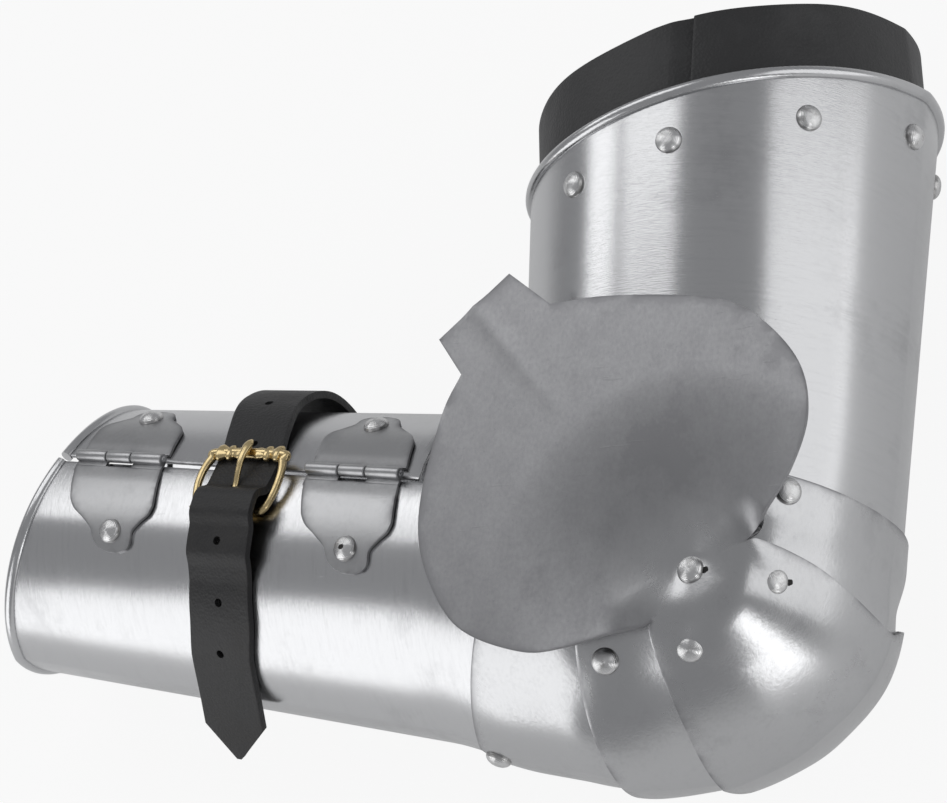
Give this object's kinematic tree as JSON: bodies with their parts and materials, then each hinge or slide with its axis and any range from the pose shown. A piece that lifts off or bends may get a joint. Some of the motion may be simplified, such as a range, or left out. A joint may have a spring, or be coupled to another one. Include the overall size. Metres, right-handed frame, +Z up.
{
  "type": "arm armour",
  "caption": "Steel plate armour for a left arm: tubular upper arm, articulated elbow with a wide side wing, and a hinged forearm closed by a buckled leather strap.",
  "frame": {"origin": "centre of the bounding box at the table", "axes": "+X from the wrist to the back of the elbow, +Y from the elbow to the shoulder rim, +Z up from the inner side that the armour lies on to the winged outer side"},
  "size_m": [0.3606, 0.286, 0.1566],
  "materials": {
    "steel_sheet": "satin polished sheet with faint brushing and handling stains",
    "rivet_steel": "bright domed heads",
    "hinge_steel": "duller steel, lightly pitted",
    "buckle_brass": "yellow brass, polished on the ridges",
    "band_leather": "black leather, satin",
    "strap_leather": "black leather with brown cut edges"
  },
  "bodies": {
    "upper_arm": {"rerebrace_shell": "steel_sheet", "upper_lame": "steel_sheet", "upper_lame_rivet_outer": "rivet_steel", "upper_lame_rivet_inner": "rivet_steel", "suspension_band": "band_leather", "band_rivet_1": "rivet_steel", "band_rivet_2": "rivet_steel", "band_rivet_3": "rivet_steel", "band_rivet_4": "rivet_steel", "band_rivet_5": "rivet_steel", "band_rivet_6": "rivet_steel", "band_rivet_7": "rivet_steel", "band_rivet_8": "rivet_steel", "band_rivet_9": "rivet_steel", "band_rivet_10": "rivet_steel"},
    "elbow": {"elbow_cop": "steel_sheet", "elbow_pivot_rivet_outer": "rivet_steel", "elbow_pivot_rivet_inner": "rivet_steel", "lower_pivot_rivet_outer": "rivet_steel", "lower_pivot_rivet_inner": "rivet_steel", "slide_rivet_outer": "rivet_steel", "slide_rivet_inner": "rivet_steel"},
    "lame": {"lower_lame": "steel_sheet", "plate_pivot_rivet_outer": "rivet_steel", "plate_pivot_rivet_inner": "rivet_steel"},
    "forearm": {"elbow_plate": "steel_sheet", "elbow_plate_rivet_outer": "rivet_steel", "elbow_plate_rivet_back": "rivet_steel", "elbow_plate_rivet_inner": "rivet_steel", "vambrace_lower_shell": "steel_sheet", "elbow_hinge_lower_leaf": "hinge_steel", "elbow_hinge_lower_rivet": "rivet_steel", "elbow_hinge_pin": "rivet_steel", "wrist_hinge_lower_leaf": "hinge_steel", "wrist_hinge_lower_rivet": "rivet_steel", "wrist_hinge_pin": "rivet_steel", "buckle_chape": "buckle_brass", "buckle_chape_rivet": "rivet_steel", "strap_rivet_1": "rivet_steel", "strap_rivet_2": "rivet_steel"},
    "forearm_door": {"vambrace_upper_shell": "steel_sheet", "elbow_hinge_upper_leaf": "hinge_steel", "elbow_hinge_upper_rivet": "rivet_steel", "wrist_hinge_upper_leaf": "hinge_steel", "wrist_hinge_upper_rivet": "rivet_steel"},
    "buckle": {"buckle_frame": "buckle_brass"},
    "tongue": {"buckle_tongue": "buckle_brass"},
    "strap": {"closing_strap": "strap_leather"}
  },
  "joints": [
    {"name": "elbow_bend", "type": "hinge", "parent": "upper_arm", "child": "elbow", "pos_m": [0.12829, -0.08238, 0.06284], "axis": [-0.0658, -0.1038, 0.9924], "range_deg": [-9, 8]},
    {"name": "lower_lame_tilt", "type": "hinge", "parent": "elbow", "child": "lame", "pos_m": [0.12648, -0.10664, 0.06018], "axis": [-0.0658, -0.1038, 0.9924], "range_deg": [-3.15, 2.8]},
    {"name": "forearm_tilt", "type": "hinge", "parent": "lame", "child": "forearm", "pos_m": [0.09486, -0.10832, 0.05791], "axis": [-0.0658, -0.1038, 0.9924], "range_deg": [-3.15, 2.8]},
    {"name": "vambrace_open", "type": "hinge", "parent": "forearm", "child": "forearm_door", "pos_m": [-0.01494, -0.03544, 0.10874], "axis": [0.9791, -0.1749, 0.1036], "range_deg": [0, 100]},
    {"name": "buckle_swing", "type": "hinge", "parent": "forearm", "child": "buckle", "pos_m": [-0.06422, -0.04646, 0.10708], "axis": [0.983, -0.1565, 0.0961], "range_deg": [0, 100]},
    {"name": "tongue_lift", "type": "hinge", "parent": "buckle", "child": "tongue", "pos_m": [-0.06422, -0.04646, 0.10708], "axis": [0.983, -0.1565, 0.0961], "range_deg": [0, 60]},
    {"name": "strap_swing", "type": "hinge", "parent": "forearm", "child": "strap", "pos_m": [-0.05508, -0.02351, 0.0062], "axis": [-0.9791, 0.1749, -0.1036], "range_deg": [0, 70], "deforming": ["closing_strap"]}
  ],
  "couplings": [
    {"joint": "lower_lame_tilt", "follows": "elbow_bend", "ratio": 0.35},
    {"joint": "forearm_tilt", "follows": "elbow_bend", "ratio": 0.35},
    {"joint": "buckle_swing", "follows": "vambrace_open", "ratio": 1},
    {"joint": "strap_swing", "follows": "vambrace_open", "ratio": 0.7}
  ]
}
